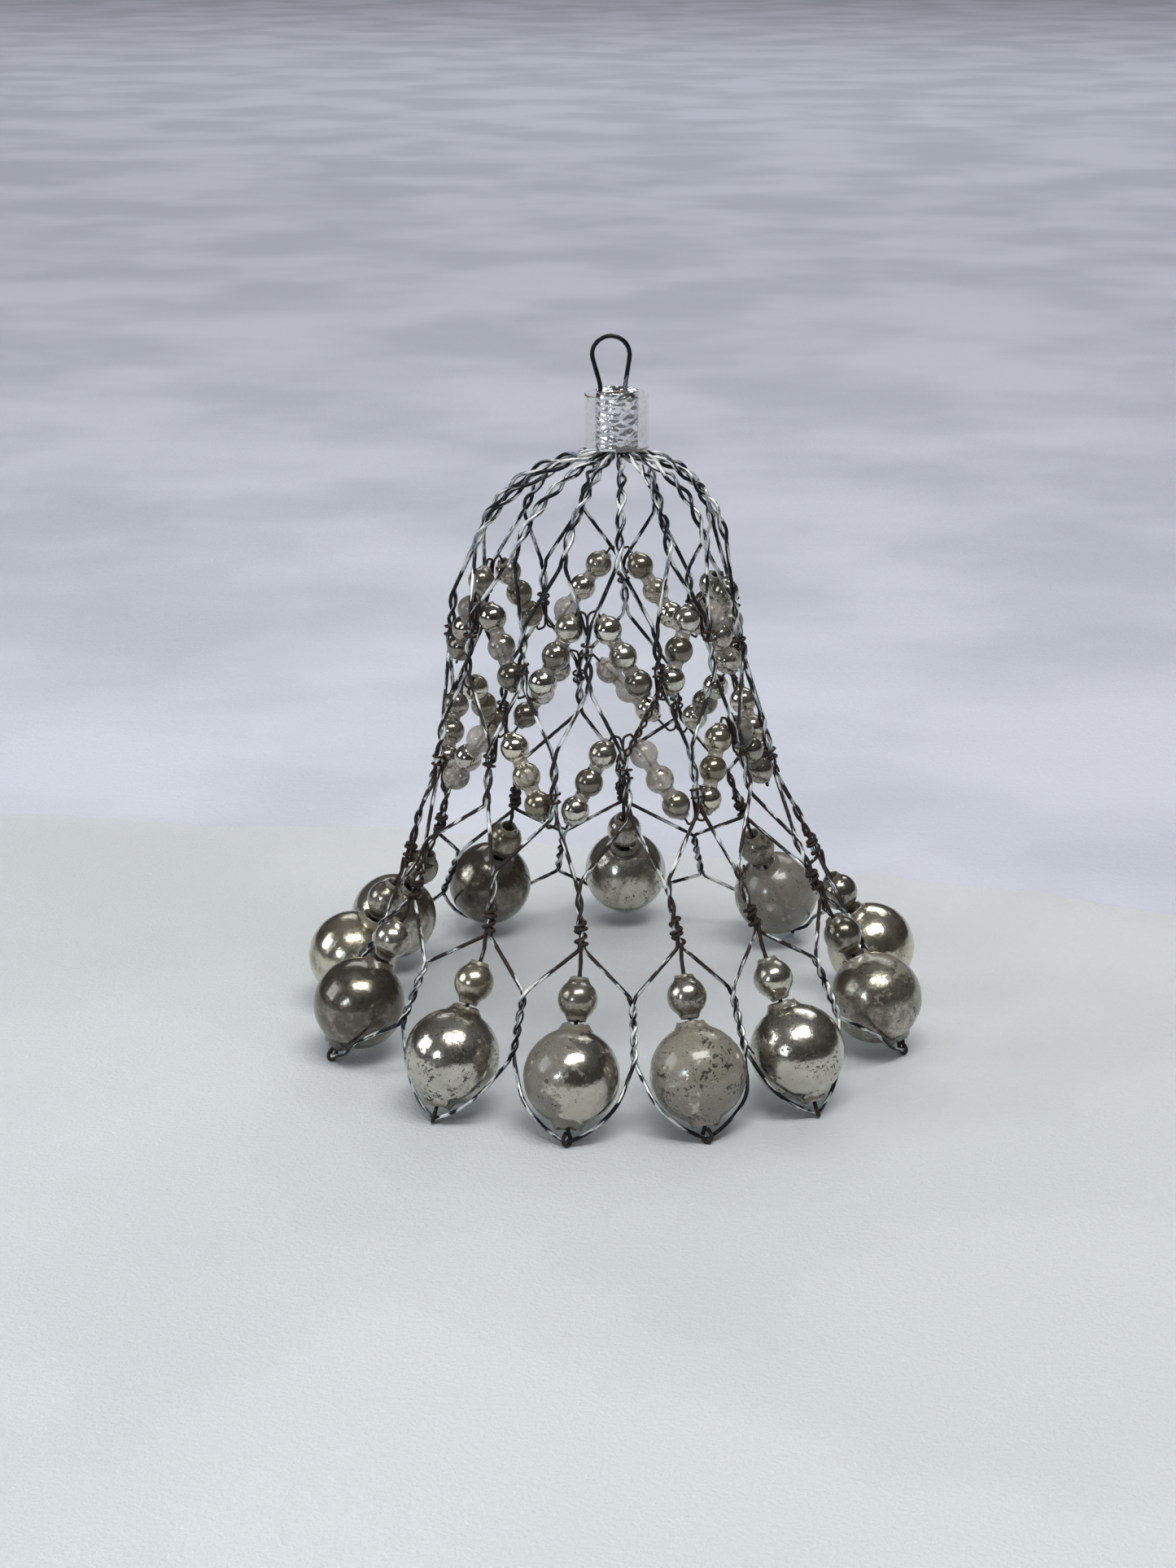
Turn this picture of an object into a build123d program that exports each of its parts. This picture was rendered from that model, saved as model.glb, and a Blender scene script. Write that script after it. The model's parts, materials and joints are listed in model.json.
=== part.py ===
from build123d import *
from collections import namedtuple
from math import cos, pi, radians, sin
import os

# A hanging bell ornament of twisted wire netting, trimmed with silvered blown-glass beads.
# Millimetres and degrees. +Z is up, the front is -Y, and the bell stands on its twelve hooks.
# Directions are counted from +X towards +Y, as seen from above.

# Wires
WIRE = 0.72  # net and drop wires
STRING = 0.45  # the finer wire that the strands are strung on
LOOP_WIRE = 0.8  # the hanging loop's stouter wire
TWIST = 0.4  # middle of each wire from the middle of its twisted pair
DOME_EYES = 0.62  # the same, where the dome's pairs open into loose eyes
BINDING = 1.17  # middle of a drop's binding turns from the middle of the pair they bind
STRING_BINDING = 1.04  # the same for a strand's wire
RUNS_PER_TURN = 8

# Rings of the net, where the pairs of wires part and meet: height, radius, and lean of the middle in X
Ring = namedtuple("Ring", "height radius lean")
DOME_FOOT = Ring(91.3, 22.3, -3.0)
WAIST_TOP = Ring(81.4, 24.9, -3.8)
WAIST_FOOT = Ring(70.6, 26.3, -3.4)
HIP_TOP = Ring(60.8, 28.6, -2.8)
HIP_FOOT = Ring(49.7, 30.8, -2.2)
SKIRT_TOP = Ring(39.8, 34.5, -1.2)
SKIRT_FOOT = Ring(29.1, 38.4, 0.0)
HEM_TOP = Ring(22.0, 42.0, 0.0)
HEM_FOOT = Ring(11.5, 47.5, 0.0)
HOOKS = Ring(1.24, 54.3, 0.0)

# Directions of the columns. Column k of the dome, hip and hem stands between columns k and k + 1
# of the waist and skirt. The bell is hand-made, so its columns crowd towards the front.
DROP_DIRECTIONS = (-99, -74, -51, -18, 11, 49, 87, 120, 150, 174, 201, 235)
WAIST_DIRECTIONS = (-93, -66, -40, -14, 13, 47, 78, 112, 142, 176, 212, 241)
HIP_DIRECTIONS = (-82, -58, -34, -8, 25, 62, 98, 128, 158, 196, 229, 254)
COLUMNS = len(DROP_DIRECTIONS)

# The dome is part of an ellipse turned about the bell's middle
DOME_RADIUS = 23.1
DOME_RISE = 20.5
DOME_BASE = 86.0
DOME_START = 11.2  # degrees round the ellipse from its top
DOME_END = 75.0

# Turns of twist in a column. Odd halves let each wire leave on the side that it didn't enter on,
# and the dome's wires start one above the other, where there is no side to enter on
DOME_TURNS = 2.75
WAIST_TURNS = 1.5
HIP_TURNS = 1.5
SKIRT_TURNS = 1.5
HEM_TURNS = 2.5

# Crown
CROWN_FOOT = 107.2
CROWN_HEIGHT = 9.8
CORE_RADIUS = 3.4
FOIL = 0.33
SLEEVE_RADIUS = 5.65
SLEEVE_WALL = 0.25
SLEEVE_HEIGHT = 9.2
GLUE_GAP = 0.02
BUNDLE_INNER = 2.0  # the wires' ends stand in two rings inside the core
BUNDLE_OUTER = 2.8
BUNDLE_DEPTH = 3.1
LOOP_TOP = 127.0
LOOP_LEGS = 4.2
LOOP_WIDTH = 7.4  # outside
LOOP_SHIFT = -0.7
LOOP_DEPTH = 4.5

# Glass
LARGE_RADIUS = 8.2
SMALL_RADIUS = 3.4
BUMP_RADIUS = 2.45
BUMP_PITCH = 5.3
LARGE_WALL = 0.5
SMALL_WALL = 0.4
BUMP_WALL = 0.35
BORE_RADIUS = 0.72
LARGE_COLLAR = (2.4, 0.75)  # radius, and how far it stands out from the ball
SMALL_COLLAR = (1.6, 0.4)
BUMP_COLLAR = (1.0, 0.3)

# Drops: one wire each, bound round a skirt column, with two beads above its hook
LARGE_TO_HOOK = 10.65  # middle of the large bead from the middle of the hook's eye
BEAD_GAP = 0.25
SMALL_TRAVEL = 2.1
DROP_TURNS = 3
DROP_WRAP_PITCH = 0.75
DROP_WRAP_START = 0.95  # from the column's foot
DROP_BEND = 2.2  # where the wire's straight stretch starts, from the column's foot
HOOK_RADIUS = 0.88
HOOK_OPEN = 125.0  # degrees each way from the hook's lowest point

# Hem wires bow round the large beads: sideways from the drop, and along it from the bead's middle
HEM_BOW = ((8.35, 3.3), (5.3, 8.3), (0.9, LARGE_TO_HOOK))

# Bead strands lie just inside the net, between the top of one column and the foot of the next
STRAND_IN = 1.6
STRAND_ABOVE = 3.0  # where two strands' lines would meet, above a column's top
STRAND_BELOW = 2.0  # and below a column's foot
STRAND_APART = 1.6  # half the space between two strands' lines there
TIE_PITCH = 0.55
TIES = (2.4, 3.8)  # start of the two binding turns, from the column's end
LAID_IN = (1.03, 1.55)  # the two wires lie along the column, one on the other, this far inside it


def on_ring(ring, direction):
    """The point of a ring in a direction."""
    a = radians(direction)
    return Vector(ring.lean + ring.radius * cos(a), ring.radius * sin(a), ring.height)


def across(vector, axis):
    """The part of a vector square to an axis, at length 1."""
    return (vector - axis * vector.dot(axis)).normalized()


class Column:
    """Two wires twisted round each other along a route, from its top to its foot."""

    def __init__(self, route, direction, turns, eyes=TWIST):
        self.route = route
        self.counter = Vector(-sin(radians(direction)), cos(radians(direction)), 0)
        self.turns = turns
        self.eyes = eyes

    def frame(self, share):
        """Middle, down, sideways and outward at a share of the route."""
        step = 0.01
        ahead = self.route(min(share + step, 1.0))
        behind = self.route(max(share - step, 0.0))
        down = (ahead - behind).normalized()
        side = across(self.counter, down)
        return self.route(share), down, side, down.cross(side)

    def twisted(self, side):
        """The points of the wire that leaves the foot on a side, +1 or -1."""
        runs = round(self.turns * RUNS_PER_TURN)
        points = []
        for i in range(runs + 1):
            share = i / runs
            middle, _, sideways, outward = self.frame(share)
            left = 2 * pi * self.turns * (share - 1) + (0 if side > 0 else pi)
            reach = TWIST + (self.eyes - TWIST) * sin(pi * share)
            points.append(middle + (sideways * cos(left) + outward * sin(left)) * reach)
        return points

    def beside(self, end, in_from_end, sideways, outward):
        """A point beside the column, counted in along it from an end, 0 for the top or 1 for the foot."""
        middle, down, side, out = self.frame(end)
        along = down if end == 0 else down * -1
        return middle + along * in_from_end + side * sideways + out * outward

    def wrap(self, end, start, turns, pitch, reach):
        """The points of a binding round the column, from start on its outer side, or with a
        reach below 0 on its inner side."""
        runs = turns * RUNS_PER_TURN
        points = []
        for i in range(runs + 1):
            turn = 2 * pi * i / RUNS_PER_TURN
            level = start + pitch * i / RUNS_PER_TURN
            points.append(self.beside(end, level, reach * sin(turn), reach * cos(turn)))
        return points


def straight(top, foot, direction):
    start = on_ring(top, direction)
    end = on_ring(foot, direction)
    return lambda share: start + (end - start) * share


def over_dome(direction):
    def route(share):
        turn = radians(DOME_START + (DOME_END - DOME_START) * share)
        radius = DOME_RADIUS * sin(turn)
        lean = DOME_FOOT.lean * (radius / DOME_FOOT.radius) ** 2
        return on_ring(Ring(DOME_BASE + DOME_RISE * cos(turn), radius, lean), direction)

    return route


def midway(one, other):
    """The direction halfway from one to the next, counted the same way round."""
    return one + ((other - one) % 360) / 2


HEM_DIRECTIONS = [
    midway(DROP_DIRECTIONS[k], DROP_DIRECTIONS[(k + 1) % COLUMNS]) for k in range(COLUMNS)
]
DOME = [Column(over_dome(d), d, DOME_TURNS, eyes=DOME_EYES) for d in HIP_DIRECTIONS]
WAIST = [Column(straight(WAIST_TOP, WAIST_FOOT, d), d, WAIST_TURNS) for d in WAIST_DIRECTIONS]
HIP = [Column(straight(HIP_TOP, HIP_FOOT, d), d, HIP_TURNS) for d in HIP_DIRECTIONS]
SKIRT = [Column(straight(SKIRT_TOP, SKIRT_FOOT, d), d, SKIRT_TURNS) for d in DROP_DIRECTIONS]
HEM = [Column(straight(HEM_TOP, HEM_FOOT, d), d, HEM_TURNS) for d in HEM_DIRECTIONS]
TIERS = [DOME, WAIST, HIP, SKIRT, HEM]


class Drop:
    """The straight line of a drop's wire from its skirt column's foot to its hook."""

    def __init__(self, k):
        self.column = SKIRT[k]
        self.node = on_ring(SKIRT_FOOT, DROP_DIRECTIONS[k])
        self.hook = on_ring(HOOKS, DROP_DIRECTIONS[k])
        self.along = (self.hook - self.node).normalized()
        self.side = across(self.column.counter, self.along)
        self.out = self.along.cross(self.side)
        self.large = self.hook - self.along * LARGE_TO_HOOK
        collars = LARGE_COLLAR[1] + BEAD_GAP + SMALL_COLLAR[1]
        self.small = self.large - self.along * (LARGE_RADIUS + collars + SMALL_RADIUS)

    def hem_point(self, bow, side):
        sideways, along = bow
        return self.large + self.along * along + self.side * (side * sideways)


DROPS = [Drop(k) for k in range(COLUMNS)]


class Leg:
    """The line of a bead strand between columns k and k + 1 of a tier."""

    def __init__(self, tier, k):
        after = (k + 1) % COLUMNS
        # strands meet in a peak at the top of even columns and in a valley at the foot of odd ones
        high, low = (k, after) if k % 2 == 0 else (after, k)
        self.high = tier[high]
        self.low = tier[low]
        self.high_side = 1 if high == k else -1
        self.low_side = -self.high_side
        peak = self.high.beside(0, -STRAND_ABOVE, self.high_side * STRAND_APART, -STRAND_IN)
        valley = self.low.beside(1, -STRAND_BELOW, self.low_side * STRAND_APART, -STRAND_IN)
        self.middle = (peak + valley) / 2
        self.down = (valley - peak).normalized()

    def tie(self, column, end, side, reach):
        """The points from beside a strand's end round its column."""
        which = 0 if side > 0 else 1
        depth = -LAID_IN[which]
        start = TIES[which]
        points = [
            column.beside(end, -reach - 0.1, side * STRAND_APART, -STRAND_IN),
            column.beside(end, 0.4 - reach, side * 0.3, -STRAND_IN),
            column.beside(end, 1.8 - reach, 0, depth),
            column.beside(end, start - 0.3, 0, depth),
        ]
        return points + column.wrap(end, start, 1, TIE_PITCH, -STRING_BINDING)

    def wire_points(self):
        clear = BUMP_PITCH + BUMP_RADIUS + BUMP_COLLAR[1] + 0.5
        upper = self.tie(self.high, 0, self.high_side, STRAND_ABOVE)
        lower = self.tie(self.low, 1, self.low_side, STRAND_BELOW)
        ends = [self.middle - self.down * clear, self.middle + self.down * clear]
        return upper[::-1] + ends + lower


LEGS = {
    "upper": [Leg(WAIST, k) for k in range(COLUMNS)],
    "lower": [Leg(HIP, k) for k in range(COLUMNS)],
}


def wire(points, diameter=WIRE):
    """A round wire along straight runs, with mitred corners."""
    section = Plane(origin=points[0], z_dir=points[1] - points[0]) * Circle(diameter / 2)
    return sweep(section, path=Polyline(*points), transition=Transition.RIGHT)


def halfway(one, other):
    return (one + other) / 2


def cut(points, first, last):
    """The stretch of a wire from the middle of one run to the middle of another."""
    start = halfway(points[first], points[first + 1])
    end = halfway(points[last], points[last + 1])
    return [start] + points[first + 1 : last + 1] + [end]


def net_wire(k, side):
    """One net wire from the crown to its hook, as stretches listed by tier."""
    tiers = []
    points = crown_end(k, side)
    for level, tier in enumerate(TIERS):
        twisted = tier[k].twisted(side)
        before = len(points)
        points = points + twisted
        tiers.append((before, len(points) - 1))
        # the next column stands half a step round, on the side where this wire leaves
        step = (1 if side > 0 else 0) if level % 2 == 0 else (0 if side > 0 else -1)
        k = (k + step) % COLUMNS
    drop = DROPS[k]
    points = points + [drop.hem_point(bow, -side) for bow in HEM_BOW] + [drop.hook]
    return points, tiers


def crown_end(k, side):
    """The end of a dome wire that stands in the core: the pair's lower wire is the inner one."""
    lower = DOME[k].twisted(side)[0].Z < DOME[k].route(0).Z
    radius = BUNDLE_INNER if lower else BUNDLE_OUTER
    level = DOME[k].twisted(side)[0].Z + (0.2 if lower else 0.28)
    direction = HIP_DIRECTIONS[k]
    top = on_ring(Ring(CROWN_FOOT + BUNDLE_DEPTH, radius, 0), direction)
    return [top, on_ring(Ring(level, radius, 0), direction)]


def net_nodes():
    """The net by tiers. Each wire is cut square across its straight runs, so its pieces meet flat."""
    nodes = {name: [] for name in ("net_dome", "net_waist", "net_hip", "net_skirt", "net_hem")}
    for k in range(COLUMNS):
        for side in (1, -1):
            points, tiers = net_wire(k, side)
            names = list(nodes)
            (_, foot) = tiers[0]
            middle = foot // 2
            top = points[: middle + 1] + [halfway(points[middle], points[middle + 1])]
            nodes[names[0]].append(wire(top))
            nodes[names[0]].append(wire(cut(points, middle, foot - 1)))
            for level in range(1, len(tiers)):
                _, above = tiers[level - 1]
                start, foot = tiers[level]
                nodes[names[level]].append(wire(cut(points, above - 1, start)))
                nodes[names[level]].append(wire(cut(points, start, foot - 1)))
            _, foot = tiers[-1]
            nodes["net_hem"].append(wire(cut(points, foot - 1, foot + 1)))
            last = [halfway(points[foot + 1], points[foot + 2])] + points[foot + 2 :]
            nodes["net_hem"].append(wire(last))
    return nodes


def drop_wire(drop):
    """A drop's wire: turns round its skirt column, the straight stretch, and the hook's open eye."""
    wrap = drop.column.wrap(1, DROP_WRAP_START, DROP_TURNS, DROP_WRAP_PITCH, BINDING)
    line = [drop.node + drop.along * DROP_BEND, drop.hook - drop.along * (2 * HOOK_RADIUS + 0.2)]
    steps = 10
    eye = []
    for i in range(steps + 1):
        turn = radians(-HOOK_OPEN + 2 * HOOK_OPEN * i / steps)
        eye.append(drop.hook + (drop.along * cos(turn) + drop.out * sin(turn)) * HOOK_RADIUS)
    return wire(wrap[::-1] + line + eye)


def bead(radius, wall, collar, centres):
    """A hollow bead, or several blown in a row, with an open collar at each end."""
    collar_radius, proud = collar
    reach = centres[-1] + radius + proud
    glass = Cylinder(collar_radius, 2 * reach)
    hollow = Cylinder(BORE_RADIUS, 2 * reach + 1)
    for centre in centres:
        glass += Pos(0, 0, centre) * Sphere(radius)
        hollow += Pos(0, 0, centre) * Sphere(radius - wall)
    return (glass - hollow).solid()


def placed(shape, middle, along):
    return Plane(origin=middle, z_dir=along).location * shape


def crown_core():
    """The plug that the loop's legs and the net wires' ends are set in."""
    core = Pos(0, 0, CROWN_FOOT + CROWN_HEIGHT / 2) * Cylinder(CORE_RADIUS, CROWN_HEIGHT)
    ring_room = WIRE / 2 + GLUE_GAP
    for direction in HIP_DIRECTIONS:
        for radius in (BUNDLE_INNER, BUNDLE_OUTER):
            foot = on_ring(Ring(CROWN_FOOT, radius, 0), direction)
            depth = 2 * (BUNDLE_DEPTH + GLUE_GAP)
            core -= Pos(foot) * Cylinder(ring_room, depth)
    top = CROWN_FOOT + CROWN_HEIGHT
    for leg in (-1, 1):
        place = Pos(LOOP_SHIFT + leg * LOOP_LEGS / 2, 0, top)
        core -= place * Cylinder(LOOP_WIRE / 2 + GLUE_GAP, 2 * (LOOP_DEPTH + GLUE_GAP))
    return core.solid()


def foil_wrap():
    """Foil round the core, folded over its top."""
    inner = CORE_RADIUS + GLUE_GAP
    height = CROWN_HEIGHT + FOIL
    foil = Pos(0, 0, CROWN_FOOT + height / 2) * Cylinder(inner + FOIL, height)
    core_room = CROWN_HEIGHT + GLUE_GAP
    foil -= Pos(0, 0, CROWN_FOOT + core_room / 2 - 1) * Cylinder(inner, core_room + 2)
    top = CROWN_FOOT + height
    for leg in (-1, 1):
        place = Pos(LOOP_SHIFT + leg * LOOP_LEGS / 2, 0, top)
        foil -= place * Cylinder(LOOP_WIRE / 2 + GLUE_GAP, 4)
    return foil.solid()


def clear_sleeve():
    """A loose band of clear film, whose two ends are pressed into a seam that reaches the foil."""
    foot = CROWN_FOOT + (CROWN_HEIGHT - SLEEVE_HEIGHT) / 2
    middle = foot + SLEEVE_HEIGHT / 2
    inner = SLEEVE_RADIUS - SLEEVE_WALL
    band = Pos(0, 0, middle) * Cylinder(SLEEVE_RADIUS, SLEEVE_HEIGHT)
    band -= Pos(0, 0, middle) * Cylinder(inner, SLEEVE_HEIGHT + 1)
    foil_face = CORE_RADIUS + FOIL + 2 * GLUE_GAP
    seam_end = inner + SLEEVE_WALL / 2
    seam = Pos(0, (foil_face + seam_end) / 2, middle)
    band += seam * Box(2 * SLEEVE_WALL, seam_end - foil_face, SLEEVE_HEIGHT)
    return band.solid()


def hanging_loop():
    """A tall loop of stouter wire, narrower where its legs go into the core."""
    top_radius = (LOOP_WIDTH - LOOP_WIRE) / 2
    arch = LOOP_TOP - LOOP_WIRE / 2 - top_radius
    crown_top = CROWN_FOOT + CROWN_HEIGHT
    lean = LOOP_SHIFT * 1.5
    points = [Vector(LOOP_SHIFT + LOOP_LEGS / 2, 0, crown_top - LOOP_DEPTH)]
    points.append(Vector(LOOP_SHIFT + LOOP_LEGS / 2, 0, crown_top + 1))
    steps = 12
    for i in range(steps + 1):
        turn = pi * i / steps
        points.append(Vector(lean + top_radius * cos(turn), 0, arch + top_radius * sin(turn)))
    points.append(Vector(LOOP_SHIFT - LOOP_LEGS / 2, 0, crown_top + 1))
    points.append(Vector(LOOP_SHIFT - LOOP_LEGS / 2, 0, crown_top - LOOP_DEPTH))
    return wire(points, LOOP_WIRE)


def build():
    """Every node's solids, by name, around the middle of the hooks."""
    nodes = net_nodes()
    nodes["crown_core"] = [crown_core()]
    nodes["foil_wrap"] = [foil_wrap()]
    nodes["clear_sleeve"] = [clear_sleeve()]
    nodes["hanging_loop"] = [hanging_loop()]
    nodes["drop_wires"] = [drop_wire(drop) for drop in DROPS]
    large = bead(LARGE_RADIUS, LARGE_WALL, LARGE_COLLAR, (0,))
    small = bead(SMALL_RADIUS, SMALL_WALL, SMALL_COLLAR, (0,))
    strand = bead(BUMP_RADIUS, BUMP_WALL, BUMP_COLLAR, (-BUMP_PITCH, 0, BUMP_PITCH))
    for k, drop in enumerate(DROPS, start=1):
        nodes[f"large_bead_{k:02}"] = [placed(large, drop.large, drop.along)]
        nodes[f"small_bead_{k:02}"] = [placed(small, drop.small, drop.along)]
    for ring, legs in LEGS.items():
        nodes[f"{ring}_strand_wires"] = [wire(leg.wire_points(), STRING) for leg in legs]
        for k, leg in enumerate(legs, start=1):
            nodes[f"{ring}_strand_{k:02}"] = [placed(strand, leg.middle, leg.down)]
    return nodes


def to_origin(nodes):
    """The move that puts the middle of the whole bell's underside at the origin."""
    boxes = [solid.bounding_box() for solids in nodes.values() for solid in solids]
    low = Vector(*(min(corner) for corner in zip(*(tuple(box.min) for box in boxes))))
    high = Vector(*(max(corner) for corner in zip(*(tuple(box.max) for box in boxes))))
    middle = (low + high) / 2
    return Vector(-middle.X, -middle.Y, -low.Z)


def main():
    os.makedirs("parts", exist_ok=True)
    nodes = build()
    move = Pos(to_origin(nodes))
    for name, solids in nodes.items():
        export_step(Compound([move * solid for solid in solids]), f"parts/{name}.step")


if __name__ == "__main__":
    main()
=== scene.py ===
import json
from math import cos, pi, radians, sin

import bpy
import numpy as np
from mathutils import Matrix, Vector


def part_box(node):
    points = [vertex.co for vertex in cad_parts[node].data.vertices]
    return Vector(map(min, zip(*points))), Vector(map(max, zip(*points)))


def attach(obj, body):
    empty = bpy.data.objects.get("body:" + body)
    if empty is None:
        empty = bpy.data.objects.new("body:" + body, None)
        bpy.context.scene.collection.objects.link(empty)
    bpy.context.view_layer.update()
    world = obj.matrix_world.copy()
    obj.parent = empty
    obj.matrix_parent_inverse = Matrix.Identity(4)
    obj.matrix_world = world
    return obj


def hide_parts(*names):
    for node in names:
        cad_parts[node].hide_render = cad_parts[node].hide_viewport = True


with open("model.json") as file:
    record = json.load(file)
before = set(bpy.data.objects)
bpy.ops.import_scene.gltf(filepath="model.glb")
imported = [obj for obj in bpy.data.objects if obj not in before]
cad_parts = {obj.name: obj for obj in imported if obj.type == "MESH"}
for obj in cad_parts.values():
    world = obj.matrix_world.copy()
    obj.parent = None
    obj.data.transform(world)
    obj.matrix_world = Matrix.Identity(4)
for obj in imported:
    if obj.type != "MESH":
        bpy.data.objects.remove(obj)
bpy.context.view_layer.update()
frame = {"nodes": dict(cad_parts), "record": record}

# A hanging bell of twisted wire netting with silvered glass beads. Lengths here are in millimetres
# around the middle of the hooks, as in the CAD; to_frame() takes them to the frame, in metres.
low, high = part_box("crown_core")
CROWN_FOOT = 107.2  # height of the crown's foot above the surface that the hooks stand on
MIDDLE = np.array([(low.x + high.x) * 500, (low.y + high.y) * 500, low.z * 1000 - CROWN_FOOT])

# wires: their thicknesses, then how far their middles run from the middle of a twisted pair
WIRE = 0.72
STRING = 0.45
LOOP_WIRE = 0.8
TWIST = 0.4
BINDING = 1.17
STRING_BINDING = 1.04

RINGS = {  # height, radius, lean in X
    "dome_foot": (91.3, 22.3, -3.0),
    "waist_top": (81.4, 24.9, -3.8),
    "waist_foot": (70.6, 26.3, -3.4),
    "hip_top": (60.8, 28.6, -2.8),
    "hip_foot": (49.7, 30.8, -2.2),
    "skirt_top": (39.8, 34.5, -1.2),
    "skirt_foot": (29.1, 38.4, 0.0),
    "hem_top": (22.0, 42.0, 0.0),
    "hem_foot": (11.5, 47.5, 0.0),
    "hooks": (1.24, 54.3, 0.0),
}
# directions of the columns, from +X towards +Y
DROP_DIRECTIONS = (-99, -74, -51, -18, 11, 49, 87, 120, 150, 174, 201, 235)
WAIST_DIRECTIONS = (-93, -66, -40, -14, 13, 47, 78, 112, 142, 176, 212, 241)
HIP_DIRECTIONS = (-82, -58, -34, -8, 25, 62, 98, 128, 158, 196, 229, 254)
COLUMNS = len(DROP_DIRECTIONS)

# the dome is a squashed ball, between two angles from its top
DOME_RADIUS, DOME_RISE, DOME_BASE = 23.1, 20.5, 86.0
DOME_START, DOME_END = 11.2, 75.0

# crown
CROWN_HEIGHT = 9.8
BUNDLE = (2.0, 2.8)  # two rings of wires in the core
CORE_RADIUS = 3.4
FOIL = 0.33
SLEEVE_RADIUS = 5.65
SLEEVE_HEIGHT = 9.2
LOOP_TOP, LOOP_LEGS, LOOP_WIDTH, LOOP_SHIFT, LOOP_DEPTH = 127.0, 4.2, 7.4, -0.7, 4.5

# beads: a collar is (radius, how far it stands out)
LARGE_RADIUS, SMALL_RADIUS, BUMP_RADIUS, BUMP_PITCH = 8.2, 3.4, 2.45, 5.3
LARGE_COLLAR, SMALL_COLLAR, BUMP_COLLAR = (2.4, 0.75), (1.6, 0.4), (1.0, 0.3)
BUMP_NECK = 1.35
LARGE_TO_HOOK = 10.65
BEAD_GAP = 0.25

# drop wires, and the net wires' bow round a large bead as (sideways, along) from its middle
DROP_BEND = 2.2
HOOK_RADIUS = 0.88
HEM_BOW = ((8.0, 4.2), (4.6, 8.2), (0.75, 10.7))
WRAP_STEPS = 20  # points in one turn of a wrapped wire

# strands and their ties
STRAND_IN, STRAND_ABOVE, STRAND_BELOW, STRAND_APART = 1.6, 3.0, 2.0, 1.6
STRAND_CLEAR = 0.5  # straight wire past a strand's end
TIE_PITCH, TIES, LAID_IN = 0.55, (2.4, 3.8), (1.03, 1.55)

rng = np.random.default_rng(7)


def to_frame(points):
    return (np.asarray(points, float) + MIDDLE) / 1000


def unit(vectors):
    return vectors / np.linalg.norm(vectors, axis=-1, keepdims=True)


def on_ring(ring, direction):
    height, radius, lean = ring if isinstance(ring, tuple) else RINGS[ring]
    a = np.radians(direction)
    return np.stack(np.broadcast_arrays(lean + radius * np.cos(a), radius * np.sin(a), height), -1)


def across(vector, axis):
    return unit(vector - axis * (vector * axis).sum(-1, keepdims=True))


# ---- the wires' lines -------------------------------------------------------------------------


class Column:
    """Two wires twisted round each other, from a top to a foot."""

    def __init__(self, top, foot, direction, turns, eyes=TWIST):
        self.ends = (top, foot)
        self.direction = direction
        self.counter = np.array([-sin(radians(direction)), cos(radians(direction)), 0.0])
        self.turns = turns
        self.eyes = eyes
        self.sway = rng.uniform(-0.5, 0.5)

    def route(self, share):
        share = np.asarray(share, float)
        if self.ends[0] is None:
            turn = np.radians(DOME_START + (DOME_END - DOME_START) * share)
            radius = DOME_RADIUS * np.sin(turn)
            lean = RINGS["dome_foot"][2] * (radius / RINGS["dome_foot"][1]) ** 2
            a = radians(self.direction)
            height = DOME_BASE + DOME_RISE * np.cos(turn)
            return np.stack([lean + radius * cos(a), radius * sin(a), height], -1)
        start = on_ring(self.ends[0], self.direction)
        end = on_ring(self.ends[1], self.direction)
        return start + (end - start) * share[..., None]

    def frame(self, share):
        share = np.asarray(share, float)
        down = unit(self.route(np.minimum(share + 0.01, 1)) - self.route(np.maximum(share - 0.01, 0)))
        side = across(np.broadcast_to(self.counter, down.shape), down)
        return self.route(share), down, side, np.cross(down, side)

    def twisted(self, side):
        share = np.linspace(0, 1, int(self.turns * WRAP_STEPS) + 1)
        middle, _, sideways, outward = self.frame(share)
        left = 2 * pi * self.turns * (share - 1) + (0 if side > 0 else pi)
        left = left + self.sway * np.sin(pi * share) * np.sin(2 * pi * share)
        reach = TWIST + (self.eyes - TWIST) * np.sin(pi * share)
        reach = reach[:, None]
        return middle + (sideways * np.cos(left)[:, None] + outward * np.sin(left)[:, None]) * reach

    def beside(self, end, in_from_end, sideways, outward):
        middle, down, side, out = self.frame(float(end))
        along = down if end == 0 else -down
        return middle + along * in_from_end + side * sideways + out * outward

    def wrap(self, end, start, turns, pitch, reach):
        points = []
        for i in range(int(turns * WRAP_STEPS) + 1):
            turn = 2 * pi * i / WRAP_STEPS
            level = start + pitch * i / WRAP_STEPS
            points.append(self.beside(end, level, reach * sin(turn), reach * cos(turn)))
        return points


def midway(one, other):
    return one + ((other - one) % 360) / 2


HEM_DIRECTIONS = [midway(d, DROP_DIRECTIONS[(k + 1) % COLUMNS]) for k, d in enumerate(DROP_DIRECTIONS)]
DOME = [Column(None, None, d, 2.75, eyes=0.62) for d in HIP_DIRECTIONS]
WAIST = [Column("waist_top", "waist_foot", d, 1.5, eyes=0.52) for d in WAIST_DIRECTIONS]
HIP = [Column("hip_top", "hip_foot", d, 1.5, eyes=0.48) for d in HIP_DIRECTIONS]
SKIRT = [Column("skirt_top", "skirt_foot", d, 1.5) for d in DROP_DIRECTIONS]
HEM = [Column("hem_top", "hem_foot", d, 2.5) for d in HEM_DIRECTIONS]
TIERS = [DOME, WAIST, HIP, SKIRT, HEM]
# how rusty each tier's wires are, at its top and its foot
TIER_RUST = [(0.0, 0.12), (0.3, 0.45), (0.35, 0.6), (0.6, 0.95), (0.2, 0.1)]


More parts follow.
